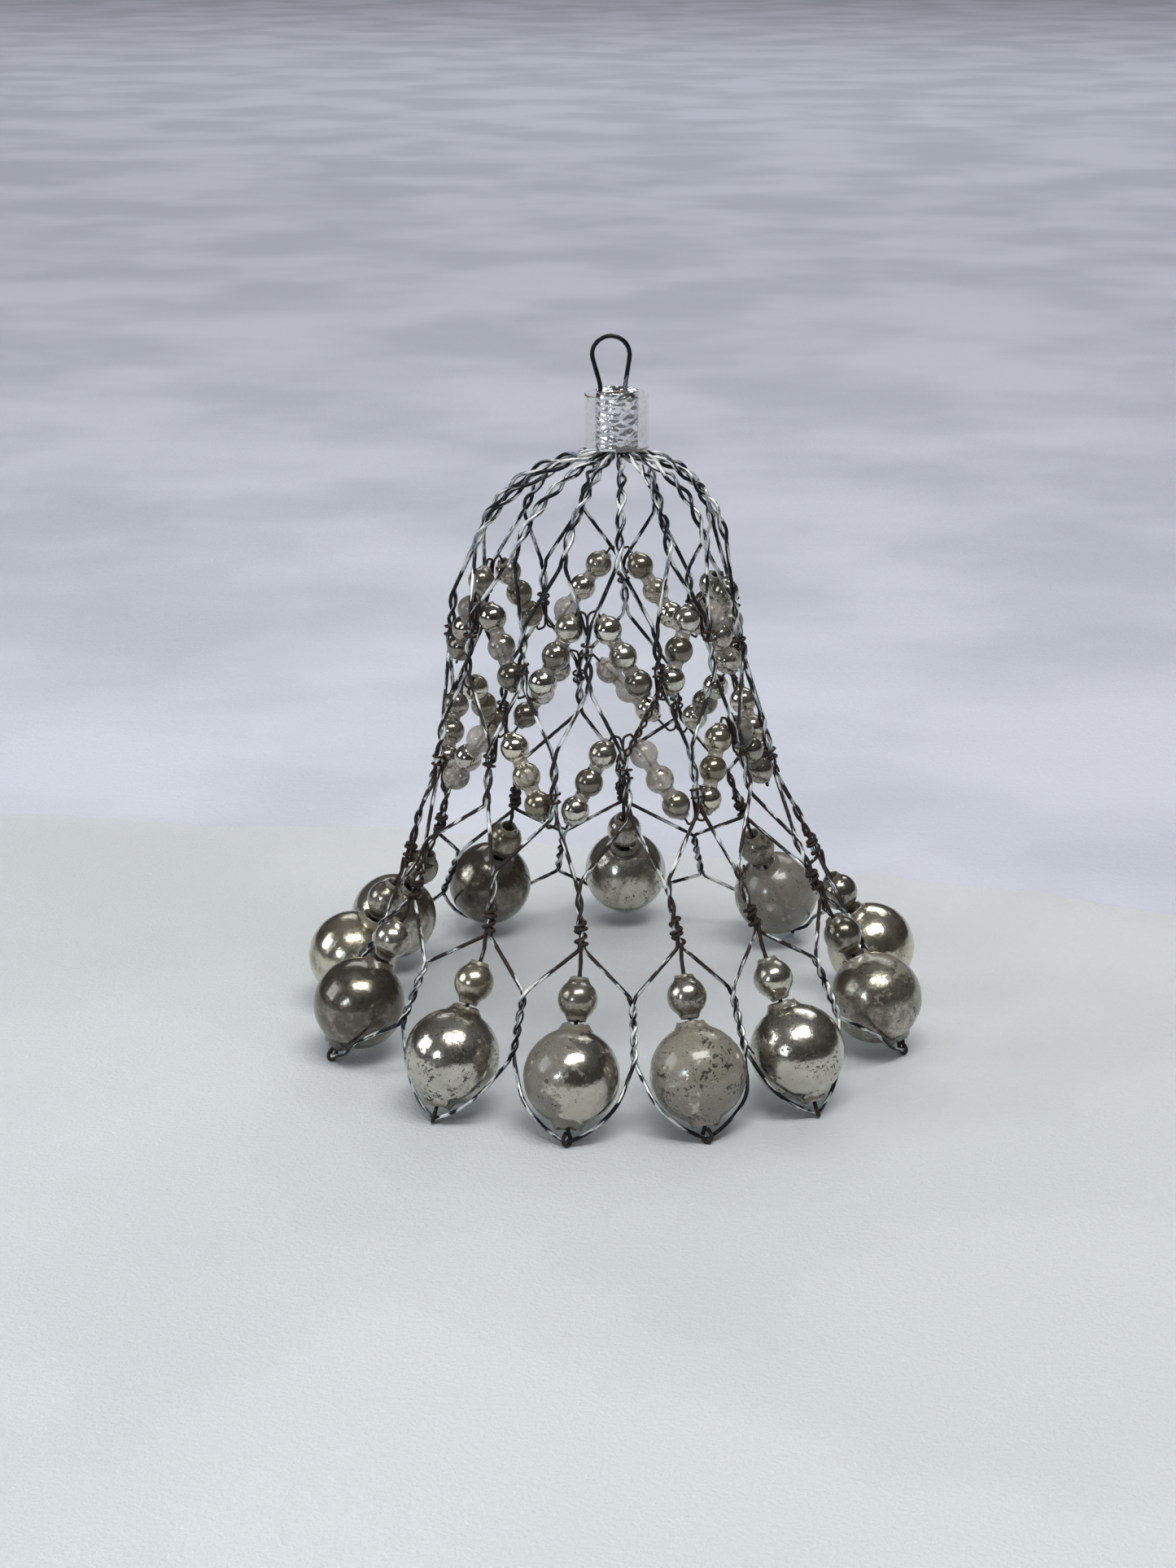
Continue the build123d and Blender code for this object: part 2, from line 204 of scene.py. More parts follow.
class Drop:
    """A large and a small bead on their wire, from a skirt column's foot to the hook."""

    def __init__(self, k):
        self.column = SKIRT[k]
        self.node = on_ring("skirt_foot", DROP_DIRECTIONS[k])
        self.hook = on_ring("hooks", DROP_DIRECTIONS[k])
        self.along = unit(self.hook - self.node)
        self.side = across(self.column.counter, self.along)
        self.out = np.cross(self.along, self.side)
        self.large = self.hook - self.along * LARGE_TO_HOOK
        collars = LARGE_COLLAR[1] + BEAD_GAP + SMALL_COLLAR[1]
        self.small = self.large - self.along * (LARGE_RADIUS + collars + SMALL_RADIUS)


DROPS = [Drop(k) for k in range(COLUMNS)]


class Leg:
    """One strand of a zigzag ring, and its wire tied to a column at each end."""

    def __init__(self, tier, k):
        after = (k + 1) % COLUMNS
        upper, lower = (k, after) if k % 2 == 0 else (after, k)
        self.high, self.low = tier[upper], tier[lower]
        self.high_side = 1 if upper == k else -1
        self.low_side = -self.high_side
        peak = self.high.beside(0, -STRAND_ABOVE, self.high_side * STRAND_APART, -STRAND_IN)
        valley = self.low.beside(1, -STRAND_BELOW, self.low_side * STRAND_APART, -STRAND_IN)
        self.middle = (peak + valley) / 2
        self.down = unit(valley - peak)

    def tie(self, column, end, side, reach):
        which = 0 if side > 0 else 1
        depth, start = -LAID_IN[which], TIES[which]
        points = [
            column.beside(end, -reach - 0.1, side * STRAND_APART, -STRAND_IN),
            column.beside(end, 0.4 - reach, side * 0.3, -STRAND_IN),
            column.beside(end, 1.8 - reach, 0, depth),
            column.beside(end, start - 0.3, 0, depth),
        ]
        return points + column.wrap(end, start, 1, TIE_PITCH, -STRING_BINDING)

    def wire_points(self):
        clear = BUMP_PITCH + BUMP_RADIUS + BUMP_COLLAR[1] + STRAND_CLEAR
        upper = self.tie(self.high, 0, self.high_side, STRAND_ABOVE)
        lower = self.tie(self.low, 1, self.low_side, STRAND_BELOW)
        ends = [self.middle - self.down * clear, self.middle + self.down * clear]
        return np.array(upper[::-1] + ends + lower)


LEGS = {
    "upper": [Leg(WAIST, k) for k in range(COLUMNS)],
    "lower": [Leg(HIP, k) for k in range(COLUMNS)],
}


def through(points, steps=12):
    """A smooth line through points."""
    p = np.asarray(points, float)
    p = np.vstack([2 * p[0] - p[1], p, 2 * p[-1] - p[-2]])
    t = np.linspace(0, 1, steps, endpoint=False)[:, None]
    parts = []
    for a, b, c, d in zip(p, p[1:], p[2:], p[3:]):
        parts.append(
            b + t * (c - a) / 2 + t**2 * (a - 2.5 * b + 2 * c - d / 2) + t**3 * (-a + 3 * b - 3 * c + d) / 2
        )
    return np.vstack(parts + [p[-2:-1]])


def softened(line, bend=0.3, step=0.3):
    """The line in even steps, with its corners rounded to about a bend's length; its ends stay."""
    line = np.asarray(line, float)
    fine = step / 2
    gone = np.r_[0, np.cumsum(np.linalg.norm(np.diff(line[:, :3], axis=0), axis=1))]
    count = max(int(gone[-1] / fine), 4)
    at = np.linspace(0, gone[-1], count + 1)
    even = np.stack([np.interp(at, gone, line[:, i]) for i in range(line.shape[1])], 1)
    reach = int(3 * bend / fine) + 1
    weights = np.exp(-0.5 * (np.arange(-reach, reach + 1) * fine / bend) ** 2)
    weights /= weights.sum()
    if reach >= len(even):
        return even
    before = 2 * even[0] - even[reach:0:-1]
    after = 2 * even[-1] - even[-2 : -reach - 2 : -1]
    long = np.vstack([before, even, after])
    soft = np.stack([np.convolve(long[:, i], weights, "valid") for i in range(line.shape[1])], 1)
    return np.vstack([soft[:-1:2], soft[-1:]])


# ---- meshes -----------------------------------------------------------------------------------


class Pile:
    """The vertices, faces and painted values of one piece, gathered part by part."""

    def __init__(self):
        self.points, self.faces, self.grain, self.wear, self.count = [], [], [], [], 0

    def add(self, points, faces, grain, wear):
        self.points.append(points)
        self.faces.extend((np.asarray(f) + self.count).tolist() for f in faces)
        self.grain.append(grain)
        self.wear.append(wear)
        self.count += len(points)

    def piece(self, name, material, body="root", replaced=()):
        mesh = bpy.data.meshes.new(name)
        mesh.from_pydata(to_frame(np.vstack(self.points)).tolist(), [], self.faces)
        for label, parts in (("grain", self.grain), ("wear", self.wear)):
            values = np.vstack(parts).astype(np.float32)
            mesh.attributes.new(label, "FLOAT_VECTOR", "POINT").data.foreach_set("vector", values.ravel())
        mesh.polygons.foreach_set("use_smooth", [True] * len(mesh.polygons))
        mesh.validate()
        mesh.materials.append(material)
        obj = bpy.data.objects.new(name, mesh)
        bpy.context.scene.collection.objects.link(obj)
        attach(obj, body)
        if replaced:
            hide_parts(*replaced)
        return obj


def grid_faces(rings, sides, closed=True):
    i = np.arange(rings - 1)[:, None] * sides
    j = np.arange(sides if closed else sides - 1)[None, :]
    k = (j + 1) % sides
    quads = np.stack([i + j, i + k, i + sides + k, i + sides + j], -1)
    return list(quads.reshape(-1, 4))


def tube(pile, line, diameter, rust=0.3, sides=8, rough=0.035, taper=False, bend=0.3, step=0.3):
    """A wire along a line, whose fourth column, if any, is how rusty it is."""
    line = np.asarray(line, float)
    if line.shape[1] == 3:
        line = np.c_[line, np.full(len(line), rust)]
    line = softened(line, bend, step)
    middle = line[:, :3]
    forward = unit(np.gradient(middle, axis=0))
    normals = np.zeros_like(middle)
    start = np.cross(forward[0], [0.3, 0.5, 0.8])
    normals[0] = start / np.linalg.norm(start)
    for i in range(1, len(middle)):
        n = normals[i - 1] - forward[i] * normals[i - 1].dot(forward[i])
        normals[i] = n / np.linalg.norm(n)
    cross = np.cross(forward, normals)
    a = 2 * pi * np.arange(sides) / sides
    gone = np.r_[0, np.cumsum(np.linalg.norm(np.diff(middle, axis=0), axis=1))]
    seed = rng.uniform(0, 90)
    long_waves = np.sin(gone[:, None] * 2.3 + seed + 2 * a)
    short_waves = 0.7 * np.sin(gone[:, None] * 5.1 + 3 * a + seed * 2)
    uneven = 1 + rough * (long_waves + short_waves)
    uneven -= rough * 0.8
    size = np.full(len(middle), diameter / 2)
    if taper:
        size *= np.clip(0.45 + (gone[-1] - gone) / diameter, 0, 1)
    ring = normals[:, None] * np.cos(a)[None, :, None] + cross[:, None] * np.sin(a)[None, :, None]
    points = middle[:, None] + ring * (size[:, None] * uneven)[..., None]
    # the paint's grain is drawn out along the wire
    grain = (gone[:, None] * 0.3 + seed, 0.6 * np.cos(a), 0.6 * np.sin(a))
    around = np.stack(np.broadcast_arrays(*grain), -1)
    wear = np.broadcast_to(line[:, 3, None, None], points.shape).copy()
    rings = len(middle)
    faces = grid_faces(rings, sides)
    faces += [np.arange(sides)[::-1], np.arange(sides) + (rings - 1) * sides]
    pile.add(points.reshape(-1, 3), faces, around.reshape(-1, 3), wear.reshape(-1, 3))


TEAR_WAVES = ((1, 0.5), (2, 0.5), (4, 0.45), (7, 0.3), (12, 0.12))  # waves round a torn rim, and shares


def lathe(pile, place, profile, sides, seed, wear, ragged=(), wobble=0.012):
    """A blown bead: a profile of (radius, height) turned about its hole, slightly out of true.
    place is (middle, along, side, out); wear gives three values for (height, angle): bare patches, specks,
    and a darkening that is partly painted shade."""
    middle, along, side, out = place
    profile = np.asarray(profile, float)
    r, z = profile[:, 0][:, None], profile[:, 1][:, None]
    a = (2 * pi * np.arange(sides) / sides)[None, :]
    local = np.random.default_rng(seed)
    f = local.uniform(0, 2 * pi, 8)
    off = np.sin(a + f[0]) * np.sin(z * 0.35 + f[1])
    off = off + 0.6 * np.sin(2 * a + f[2]) + 0.3 * np.sin(3 * a + z * 0.5 + f[3])
    r = r * (1 - wobble * (1 + off / 1.9) / 2)
    tear = sum(np.sin(n * a + f[4] + n * n) * share for n, share in TEAR_WAVES)
    shift = np.zeros_like(r * z)
    for level, share in ragged:
        turned = tear[0] if z[level] > 0 else np.roll(tear[0], sides // 3) * 0.9
        shift[level] -= np.sign(z[level]) * share * np.clip(0.2 + 0.6 * turned, 0, 1.1)
    z = z + shift
    turned = side * (r * np.cos(a))[..., None] + out * (r * np.sin(a))[..., None]
    points = middle + turned + along * z[..., None]
    grain = np.stack([r * np.cos(a), r * np.sin(a), z + 0 * a], -1) + seed * np.array([3.7, 1.9, 2.3])
    faces = [f[::-1] for f in grid_faces(len(profile), sides)]
    worn = np.stack(np.broadcast_arrays(*wear(z, a + 0 * z)), -1)
    pile.add(points.reshape(-1, 3), faces, grain.reshape(-1, 3), worn.reshape(-1, 3))


def ball_profile(radius, collar, centres=(0.0,), rings=40, neck=None):
    """From inside one open end, over the bumps, to inside the other. The ends are drawn out a little."""
    lip, proud = collar
    end = radius + proud
    hole = lip - min(0.35, 0.38 * lip)
    join = np.arcsin(min(lip * 1.32 / radius, 0.95))
    drawn = radius * cos(join)
    tip = [(min(hole * 0.5, 0.9), end - 1.6), (hole * 0.82, end - 0.9), (hole, end - 0.3)]
    tip += [(hole * 1.04, end - 0.05), (lip * 0.93, end), (lip, end - 0.08)]
    for share in (0.25, 0.5, 0.75, 0.9):
        tip.append((lip * (1.0 + 0.32 * share**1.7), end - (end - drawn) * share))
    points = [(r, centres[0] - z) for r, z in tip]
    for n, centre in enumerate(centres):
        first = join if n == 0 else np.arcsin(neck / radius)
        last = join if n == len(centres) - 1 else np.arcsin(neck / radius)
        for t in np.linspace(first, pi - last, rings):
            points.append((radius * sin(t), centre - radius * cos(t)))
        if n < len(centres) - 1:
            points += [(neck * 0.94, (centres[n] + centres[n + 1]) / 2)]
    return points + [(r, centres[-1] + z) for r, z in tip[::-1]]


# ---- materials --------------------------------------------------------------------------------


class Shades:
    """A node tree with short ways to add and join nodes."""

    def __init__(self, name):
        self.material = bpy.data.materials.new(name)
        self.material.use_nodes = True
        self.tree = self.material.node_tree
        self.tree.nodes.clear()
        self.out = self.tree.nodes.new("ShaderNodeOutputMaterial")
        self.shader = self.tree.nodes.new("ShaderNodeBsdfPrincipled")
        self.tree.links.new(self.shader.outputs[0], self.out.inputs[0])

    def put(self, socket, value):
        if isinstance(value, bpy.types.NodeSocket):
            self.tree.links.new(value, socket)
        elif value is not None:
            if hasattr(socket.default_value, "__len__") and len(socket.default_value) == 4:
                value = tuple(value) + (1.0,) * (4 - len(value))
            socket.default_value = value

    def values(self, **inputs):
        for name, value in inputs.items():
            self.put(self.shader.inputs[name.replace("_", " ")], value)

    def attribute(self, name, output="Vector"):
        node = self.tree.nodes.new("ShaderNodeAttribute")
        node.attribute_name = name
        return node.outputs[output]

    def split(self, vector):
        node = self.tree.nodes.new("ShaderNodeSeparateXYZ")
        self.put(node.inputs[0], vector)
        return node.outputs

    def math(self, what, a, b=None, c=None, clamp=False):
        node = self.tree.nodes.new("ShaderNodeMath")
        node.operation = what
        node.use_clamp = clamp
        for socket, value in zip(node.inputs, (a, b, c)):
            self.put(socket, value)
        return node.outputs[0]

    def noise(self, vector, scale, detail=3.0, rough=0.55, shift=0.0, distort=0.0):
        if shift:
            moved = self.tree.nodes.new("ShaderNodeVectorMath")
            moved.operation = "ADD"
            self.put(moved.inputs[0], vector)
            moved.inputs[1].default_value = (shift, shift * 0.7, shift * 1.3)
            vector = moved.outputs[0]
        node = self.tree.nodes.new("ShaderNodeTexNoise")
        self.put(node.inputs["Vector"], vector)
        node.inputs["Scale"].default_value = scale
        node.inputs["Detail"].default_value = detail
        node.inputs["Roughness"].default_value = rough
        node.inputs["Distortion"].default_value = distort
        return node.outputs["Fac"]

    def edges(self, vector, scale):
        node = self.tree.nodes.new("ShaderNodeTexVoronoi")
        node.feature = "DISTANCE_TO_EDGE"
        self.put(node.inputs["Vector"], vector)
        node.inputs["Scale"].default_value = scale
        return node.outputs["Distance"]

    def step(self, value, start, end):
        """0 below start, 1 above end, and smooth between."""
        node = self.tree.nodes.new("ShaderNodeMapRange")
        node.interpolation_type = "SMOOTHSTEP"
        for name, v in (("Value", value), ("From Min", start), ("From Max", end)):
            self.put(node.inputs[name], v)
        return node.outputs[0]

    def mix(self, share, a, b):
        node = self.tree.nodes.new("ShaderNodeMix")
        node.data_type = "RGBA"
        self.put(node.inputs[0], share)
        self.put(node.inputs[6], a)
        self.put(node.inputs[7], b)
        return node.outputs[2]

    def lerp(self, share, a, b):
        node = self.tree.nodes.new("ShaderNodeMix")
        node.data_type = "FLOAT"
        self.put(node.inputs[0], share)
        self.put(node.inputs[2], a)
        self.put(node.inputs[3], b)
        return node.outputs[0]

    def bump(self, height, distance, strength=1.0):
        node = self.tree.nodes.new("ShaderNodeBump")
        node.inputs["Strength"].default_value = strength
        node.inputs["Distance"].default_value = distance
        self.put(node.inputs["Height"], height)
        self.put(self.shader.inputs["Normal"], node.outputs[0])


def wire_material(name, cover, pale=(0.72, 0.73, 0.7), cold=(0.13, 0.17, 0.21), bare=(0.014, 0.017, 0.021)):
    """Dark steel wire with flaking silvery paint, and rust where the mesh says so."""
    s = Shades(name)
    at = s.attribute("grain")
    rust = s.split(s.attribute("wear"))[0]
    flakes = s.noise(at, 0.75, 3.0, 0.5)
    fine = s.noise(at, 5.0, 3.0, 0.6, shift=31.0)
    limit = s.math("MULTIPLY_ADD", rust, 0.13, cover)
    paint = s.step(s.math("MULTIPLY_ADD", fine, 0.07, s.math("SUBTRACT", flakes, limit)), 0.0, 0.06)
    tone = s.noise(at, 0.8, 2.0, 0.5, shift=12.0)
    colour = s.mix(s.step(tone, 0.38, 0.55), cold, pale)
    colour = s.mix(s.step(fine, 0.45, 0.8), colour, tuple(min(1.3 * c, 0.8) for c in pale))
    rusty = s.step(s.math("MULTIPLY_ADD", s.noise(at, 2.2, 4.0, 0.6, shift=77.0), 0.9, rust), 0.6, 1.05)
    red = s.mix(fine, (0.008, 0.006, 0.005), (0.035, 0.02, 0.014))
    under = s.mix(rusty, bare, red)
    s.values(
        Base_Color=s.mix(paint, under, colour),
        Metallic=s.math("MULTIPLY", s.math("SUBTRACT", 1.0, rusty), s.lerp(paint, 0.8, 0.55)),
        Roughness=s.lerp(paint, s.lerp(rusty, 0.34, 0.7), 0.38),
        Specular_IOR_Level=0.3,
    )
    s.bump(s.math("MULTIPLY_ADD", fine, 0.5, s.math("ADD", paint, rusty)), 0.00005, 0.8)
    return s.material


def glass_material(name, silver, dark, milk, worn_at, clear, shine):
    """Blown glass silvered inside. wear.x adds bare patches, wear.y specks, wear.z darkens: dark tarnish,
    plus painted shade at large beads' tops and towards the beads' open ends.
    """
    s = Shades(name)
    at = s.attribute("grain")
    bare, specks, shade = s.split(s.attribute("wear"))[:3]
    broad = s.noise(at, 0.2, 4.0, 0.6, distort=0.6)
    patchy = s.noise(at, 0.9, 5.0, 0.65, shift=21.0)
    grit = s.noise(at, 1.7, 4.0, 0.62, shift=43.0)
    edge = s.math("MULTIPLY_ADD", patchy, 0.35, s.math("MULTIPLY", broad, 0.9))
    worn = s.step(s.math("ADD", edge, s.math("SUBTRACT", bare, worn_at)), 0.6, 0.68)
    crowd = s.math("MULTIPLY", specks, s.step(s.noise(at, 0.32, 2.0, 0.5, shift=88.0), 0.35, 0.7))
    speck = s.step(s.math("MULTIPLY_ADD", crowd, 0.2, grit), 0.655, 0.7)
    clouds = s.math("MULTIPLY_ADD", patchy, 0.5, broad)
    # dark clouds of tarnish, joined by the painted shade carried in the third value
    tarnish_and_shade = s.step(s.math("MULTIPLY_ADD", shade, 0.55, clouds), 0.75, 1.15)
    mirror = s.mix(s.step(broad, 0.35, 0.65), silver, tuple(0.82 * c for c in silver))
    mirror = s.mix(tarnish_and_shade, mirror, dark)
    colour = s.mix(worn, mirror, s.mix(patchy, milk, tuple(0.62 * c for c in milk)))
    dust = s.noise(at, 4.5, 3.0, 0.7, shift=66.0)
    gritty = s.math("MULTIPLY", s.step(dust, 0.5, 0.68), s.lerp(worn, 0.3, 0.55))
    colour = s.mix(gritty, colour, s.mix(worn, dark, tuple(1.5 * c for c in milk)))
    colour = s.mix(speck, colour, (0.025, 0.021, 0.018))
    solid = s.math("MAXIMUM", s.math("SUBTRACT", 1.0, worn), speck)
    metal = s.math("MULTIPLY", s.math("SUBTRACT", 1.0, worn), s.lerp(tarnish_and_shade, 1.0, 0.75))
    s.values(
        Base_Color=colour,
        Metallic=s.math("MULTIPLY", metal, s.math("SUBTRACT", 1.0, speck)),
        Roughness=s.lerp(s.math("MAXIMUM", worn, speck), s.lerp(tarnish_and_shade, shine, shine + 0.07), 0.34),
        Alpha=s.lerp(solid, clear, 1.0),
        Coat_Weight=0.7,
        Coat_Roughness=0.1,
        Coat_Tint=(0.87, 0.85, 0.77),
    )
    wave = s.noise(at, 0.45, 2.0, 0.5, shift=5.0)
    s.bump(s.math("MULTIPLY_ADD", grit, 0.06, wave), 0.0004, 0.35)
    return s.material


def foil_material():
    s = Shades("foil")
    at = s.attribute("grain")
    fine = s.noise(at, 1.1, 3.0, 0.5)
    colour = s.mix(s.step(fine, 0.35, 0.65), (0.92, 0.93, 0.95), (0.66, 0.68, 0.71))
    s.values(Base_Color=colour, Metallic=1.0, Roughness=s.lerp(fine, 0.1, 0.22))
    s.bump(s.math("ADD", fine, s.math("MULTIPLY", s.edges(at, 0.7), 0.6)), 0.0002, 0.2)
    return s.material


def film_material():
    s = Shades("clear_film")
    at = s.attribute("grain")
    edge = s.split(s.attribute("wear"))[0]
    scratch = s.noise(at, 1.2, 5.0, 0.65)
    old = s.step(s.math("MULTIPLY_ADD", scratch, 0.6, edge), 0.85, 1.05)
    s.values(
        Base_Color=s.mix(old, (0.5, 0.5, 0.51), (0.16, 0.085, 0.04)),
        Roughness=s.lerp(scratch, 0.08, 0.3),
        Alpha=s.lerp(old, s.lerp(s.step(scratch, 0.5, 0.75), 0.07, 0.3), 0.9),
        Coat_Weight=1.0,
        Coat_Roughness=0.06,
    )
    s.bump(scratch, 0.0006, 0.5)
    return s.material


def core_material():
    s = Shades("crown_core")
    at = s.tree.nodes.new("ShaderNodeTexCoord").outputs["Object"]
    fibre = s.noise(at, 900.0, 4.0, 0.6)
    colour = s.mix(fibre, (0.2, 0.13, 0.08), (0.42, 0.31, 0.2))
    s.values(Base_Color=colour, Roughness=s.lerp(fibre, 0.7, 0.95))
    s.bump(fibre, 0.0002, 0.5)
    return s.material


def cloth_material(name, one, two, weave, rough_bump):
    s = Shades(name)
    at = s.tree.nodes.new("ShaderNodeTexCoord").outputs["Object"]
    blotch = s.noise(at, 9.0, 3.0, 0.5)
    fluff = s.noise(at, weave, 4.0, 0.7)
    colour = s.mix(s.step(blotch, 0.35, 0.65), one, two)
    s.values(Base_Color=colour, Roughness=1.0, Specular_IOR_Level=0.15)
    s.bump(fluff, rough_bump, 0.6)
    return s.material


BINDING_COLOURS = ((0.3, 0.3, 0.3), (0.08, 0.075, 0.07), (0.02, 0.015, 0.013))
SLOTS = {
    "net_wire": wire_material("net_wire", 0.5),
    "binding_wire": wire_material("binding_wire", 0.6, *BINDING_COLOURS),
    "loop_wire": wire_material("loop_wire", 0.6, (0.4, 0.43, 0.46), (0.05, 0.055, 0.065)),
    "foil": foil_material(),
    "clear_film": film_material(),
    "crown_core": core_material(),
}
# silver, dark, milk, how much has worn off, cover where bare, roughness
DROP_GLASS_VALUES = {
    "glass_silvered": ((0.68, 0.665, 0.6), (0.14, 0.125, 0.1), (0.22, 0.205, 0.17), 0.27, 0.85, 0.2),
    "glass_champagne": ((0.7, 0.665, 0.56), (0.19, 0.165, 0.12), (0.27, 0.245, 0.195), 0.25, 0.8, 0.2),
    "glass_milky": ((0.6, 0.58, 0.52), (0.16, 0.145, 0.12), (0.2, 0.188, 0.158), 0.0, 0.84, 0.19),
    "glass_worn": ((0.56, 0.545, 0.49), (0.14, 0.125, 0.1), (0.26, 0.245, 0.207), 0.08, 0.9, 0.22),
    "glass_dark": ((0.42, 0.4, 0.35), (0.095, 0.083, 0.067), (0.11, 0.097, 0.08), 0.15, 0.88, 0.18),
}
STRAND_GLASS_VALUES = {
    "glass_silvered": ((0.74, 0.73, 0.68), (0.15, 0.135, 0.11), (0.3, 0.28, 0.24), 0.27, 0.7, 0.1),
    "glass_champagne": ((0.74, 0.7, 0.6), (0.2, 0.175, 0.13), (0.36, 0.32, 0.26), 0.25, 0.64, 0.11),
    "glass_milky": ((0.64, 0.61, 0.56), (0.2, 0.18, 0.15), (0.42, 0.38, 0.335), 0.0, 0.62, 0.13),
    "glass_dark": ((0.44, 0.42, 0.37), (0.1, 0.088, 0.07), (0.2, 0.175, 0.15), 0.15, 0.72, 0.12),
}
DROP_GLASS = {}
for name, values in DROP_GLASS_VALUES.items():
    DROP_GLASS[name] = glass_material(name, *values)
STRAND_GLASS = {}
for name, values in STRAND_GLASS_VALUES.items():
    STRAND_GLASS[name] = glass_material(f"{name}_strand", *values)
NODE_SLOT = {s["node"]: s["material_slot"] for s in frame["record"]["subparts"]}


# ---- the wire netting -------------------------------------------------------------------------


NET_NODES = ("net_dome", "net_waist", "net_hip", "net_skirt", "net_hem")
CUT_ENDS = ((WAIST, (1, 4, 7, 10)), (HIP, (0, 3, 6, 9)), (SKIRT, (2, 5, 8, 11)), (HEM, (0, 1, 5, 10)))
CUT_END_WIRE = 0.5


def hem_point(drop, sideways, along):
    return drop.large + drop.along * along + drop.side * sideways


def net_line(k, side):
    """One net wire from the crown to its hook, with its rust as a fourth column."""
    twisted = DOME[k].twisted(side)
    lower_wire = twisted[0][2] < DOME[k].route(0.0)[2]
    radius = BUNDLE[0] if lower_wire else BUNDLE[1]
    level = twisted[0][2] + (0.2 if lower_wire else 0.28)
    top = on_ring((CROWN_FOOT + 2.9, radius, 0.0), HIP_DIRECTIONS[k])
    bend = on_ring((level, radius, 0.0), HIP_DIRECTIONS[k])
    line = [np.r_[top, 0.0][None], np.r_[bend, 0.0][None]]
    for level, tier in enumerate(TIERS):
        points = tier[k].twisted(side)
        start, end = TIER_RUST[level]
        line.append(np.c_[points, np.linspace(start, end, len(points))])
        step = (1 if side > 0 else 0) if level % 2 == 0 else (0 if side > 0 else -1)
        k = (k + step) % COLUMNS
    drop = DROPS[k]
    last = line[-1][-1][:3]
    bow = [hem_point(drop, -side * s, a) for s, a in HEM_BOW] + [drop.hook]
    ahead = through([last] + bow, 10)
    line.append(np.c_[ahead, np.linspace(0.05, 0.3, len(ahead))])
    return np.vstack(line)


def cut_end(pile, tier, k):
    """A short end that sticks out where wires were joined."""
    column = tier[k]
    end = 1 if k % 2 else 0
    lean = 1 if k % 3 else -1
    stub = [
        column.beside(end, 1.6, 0.35 * lean, 0.4),
        column.beside(end, 0.8, 0.7 * lean, 0.75),
        column.beside(end, -0.1, 1.0 * lean, 0.9),
    ]
    tube(pile, through(stub, 8), CUT_END_WIRE, rust=0.8, sides=6, taper=True, bend=0.15, step=0.15)


net = Pile()
for k in range(COLUMNS):
    for side in (1, -1):
        tube(net, net_line(k, side), WIRE, sides=8)
for tier, columns in CUT_ENDS:
    for k in columns:
        cut_end(net, tier, k)
net.piece("wire_net", SLOTS["net_wire"], "root", NET_NODES)

# ---- drops' wires -----------------------------------------------------------------------------

DROP_WRAP_POINTS = 68
DROP_WRAP_START, DROP_WRAP_PITCH = 0.7, 1.2
DROP_END = 2.05  # from the straight stretch's end to the hook
EYE_POINTS = 25


def drop_wrap(drop):
    """Loose turns round the skirt column's foot."""
    wrap = []
    loose = rng.uniform(-1, 1, 4)
    for i in range(DROP_WRAP_POINTS):
        turn = 2 * pi * i / WRAP_STEPS
        level = DROP_WRAP_START + i / WRAP_STEPS * DROP_WRAP_PITCH
        level = level + 0.3 * sin(turn * 0.45 + 3 * loose[0]) + 0.15 * loose[1]
        reach = BINDING * (0.76 + 0.08 * sin(turn * 0.6 + 3 * loose[2]))
        wrap.append(drop.column.beside(1, level, reach * sin(turn), reach * cos(turn)))
    return wrap


def drop_eye(drop, k):
    """The hook at the drop's end, bent into an eye that is a little uneven from drop to drop."""
    long = 1.5 + 0.12 * sin(k * 2.1)
    wide = 0.9 + 0.07 * sin(k * 1.3)
    tilt = radians(48 + 14 * sin(k * 2.7)) * (1 if k % 2 else -1)
    open_way = drop.out * cos(tilt) + drop.side * sin(tilt)
    eye = []
    for i in range(EYE_POINTS):
        turn = radians(-150 + 310 * i / (EYE_POINTS - 1))
        lift = cos(turn) if cos(turn) > 0 else long * cos(turn)
        reach = HOOK_RADIUS * wide * sin(turn) * (1 - 0.25 * max(-cos(turn), 0))
        eye.append(drop.hook + drop.along * HOOK_RADIUS * lift + open_way * reach)
    return eye


drop_wires = Pile()
for k, drop in enumerate(DROPS):
    wrap = drop_wrap(drop)
    line = [drop.node + drop.along * DROP_BEND, drop.hook - drop.along * DROP_END]
    route = np.vstack([wrap[::-1], line, drop_eye(drop, k)])
    tube(drop_wires, route, WIRE, rust=0.85, bend=0.22, step=0.22)
drop_wires.piece("drop_wire_set", SLOTS["binding_wire"], "root", ("drop_wires",))

# ---- strands' wires ---------------------------------------------------------------------------

DOUBLED_WIRE, DOUBLED_TURNS, DOUBLED_REACH, DOUBLED_OUT = 0.5, 3.5, 0.42, 0.45


def doubled_tie(pile):
    """A doubled, twisted wire from the upper ring's valley at the front right to the lower ring's peak."""
    start, end = WAIST[1].beside(1, 0.2, 0, 0.6), HIP[0].beside(0, 0.4, 0, 0.6)
    axis = unit(end - start)
    sideways = across(np.array([0.0, -1.0, 0.0]), axis)
    other = np.cross(axis, sideways)
    share = np.linspace(0, 1, 80)[:, None]
    for way in (0, pi):
        turn = 2 * pi * DOUBLED_TURNS * share + way
        round_it = (sideways * np.cos(turn) + other * np.sin(turn)) * DOUBLED_REACH
        twist = start + (end - start) * share + round_it
        line = twist + sideways * DOUBLED_OUT
        tube(pile, line, DOUBLED_WIRE, rust=1.0, sides=7, rough=0.12, bend=0.15, step=0.2)


